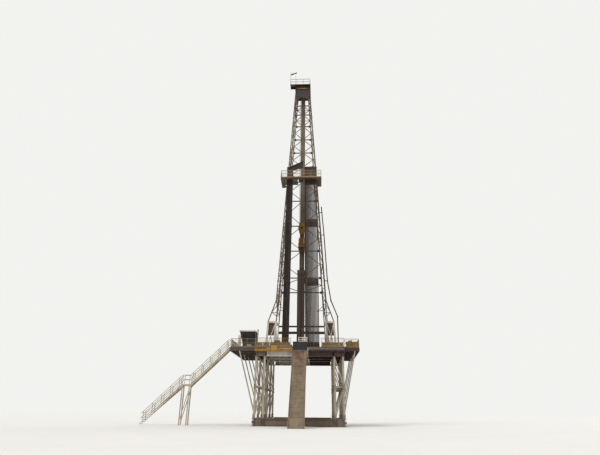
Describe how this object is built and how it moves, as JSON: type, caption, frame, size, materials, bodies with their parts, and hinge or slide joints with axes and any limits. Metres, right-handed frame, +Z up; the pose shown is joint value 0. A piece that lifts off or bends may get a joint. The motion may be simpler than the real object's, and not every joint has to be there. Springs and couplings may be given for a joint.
{
  "type": "oil drilling rig",
  "caption": "Land drilling rig: lattice mast on a raised drill floor with racked pipe, racking board, crown, driller cabin, stair and ramp; hoist slides, elevator links tilt. 1:10 model.",
  "frame": {"origin": "centre of the bounding box at ground level, under the rig", "axes": "+Z up the mast, -Y towards the V-door ramp, +X to the right as seen from the ramp"},
  "size_m": [2.6864, 1.989, 5.5216],
  "materials": {
    "skid_paint": "weathered",
    "substructure_paint": "weathered",
    "spreader_paint": "weathered",
    "floor_plate": "worn, muddy",
    "dark_steel": "oily",
    "mat_wood": "rough",
    "edge_yellow": "weathered",
    "ramp_paint": "rusty, worn",
    "gate_paint": "satin",
    "white_paint": "satin",
    "platform_paint": "weathered",
    "handrail_yellow": "satin",
    "handrail_olive": "satin",
    "cabin_floor_plate": "satin",
    "cabin_paint": "satin",
    "cabin_glass": "tinted",
    "stair_paint": "weathered",
    "tread_steel": "worn",
    "foot_white": "weathered",
    "mast_brown": "weathered",
    "mast_grey": "weathered",
    "mast_maroon": "weathered",
    "crown_dark": "weathered",
    "crown_rail": "weathered",
    "flag_cloth": "faded",
    "board_paint": "weathered",
    "board_rail": "weathered",
    "dark_paint": "worn",
    "wind_cloth": "faded",
    "pipe_dark": "oily, rusty",
    "pipe_grey": "dusty, rusty",
    "rail_steel": "worn",
    "wire_rope": "greasy",
    "machine_olive": "worn",
    "block_yellow": "worn, oily",
    "drive_yellow": "worn, oily",
    "forged_steel": "worn"
  },
  "bodies": {
    "rig": {"base_skids": "skid_paint", "base_spreaders": "skid_paint", "side_frames": "substructure_paint", "floor_boxes": "substructure_paint", "floor_spreaders": "spreader_paint", "drill_floor": "floor_plate", "rotary_table": "dark_steel", "setback_mats": "mat_wood", "edge_beams": "edge_yellow", "v_door_ramp": "ramp_paint", "v_door_gate": "gate_paint", "v_door_rails": "white_paint", "side_platforms": "platform_paint", "platform_struts": "substructure_paint", "floor_handrails": "handrail_yellow", "platform_handrails": "handrail_olive", "cabin_floor": "cabin_floor_plate", "cabin_walls": "cabin_paint", "cabin_glass": "cabin_glass", "cabin_door": "cabin_paint", "cabin_roof": "white_paint", "stair_stringers": "stair_paint", "stair_treads": "tread_steel", "stair_landing": "stair_paint", "stair_handrails": "handrail_olive", "mast_feet": "foot_white", "mast_portal_girders": "mast_brown", "mast_lower": "mast_grey", "mast_upper": "mast_grey", "mast_top": "mast_maroon", "mast_back": "mast_brown", "mast_top_back": "mast_maroon", "crown_frame": "crown_dark", "crown_plates": "crown_dark", "crown_sheaves": "dark_steel", "crown_platform": "crown_dark", "crown_handrails": "crown_rail", "flagpole": "crown_rail", "flag": "flag_cloth", "racking_board": "board_paint", "racking_board_handrails": "board_rail", "diving_board": "dark_paint", "wind_wall": "wind_cloth", "stands_left": "pipe_dark", "stands_right": "pipe_grey", "singles_middle": "pipe_grey", "standpipe": "mast_maroon", "torque_rail": "rail_steel", "drilling_lines": "wire_rope", "drawworks": "machine_olive", "drawworks_drum": "wire_rope", "fast_line": "wire_rope", "air_winch": "edge_yellow", "floor_lockers": "edge_yellow", "lamp_posts": "white_paint"},
    "travelling_gear": {"travelling_block": "block_yellow", "top_drive": "drive_yellow"},
    "links": {"elevator_links": "forged_steel", "elevator": "forged_steel"}
  },
  "joints": [
    {"name": "hoist", "type": "slide", "parent": "rig", "child": "travelling_gear", "axis": [0, 0, 1], "range_m": [-0.98, 2.15], "deforming": ["drilling_lines"]},
    {"name": "link_tilt", "type": "hinge", "parent": "travelling_gear", "child": "links", "pos_m": [0.59324, 0.19448, 2.347], "axis": [1, 0, 0], "range_deg": [-22, 10]}
  ]
}
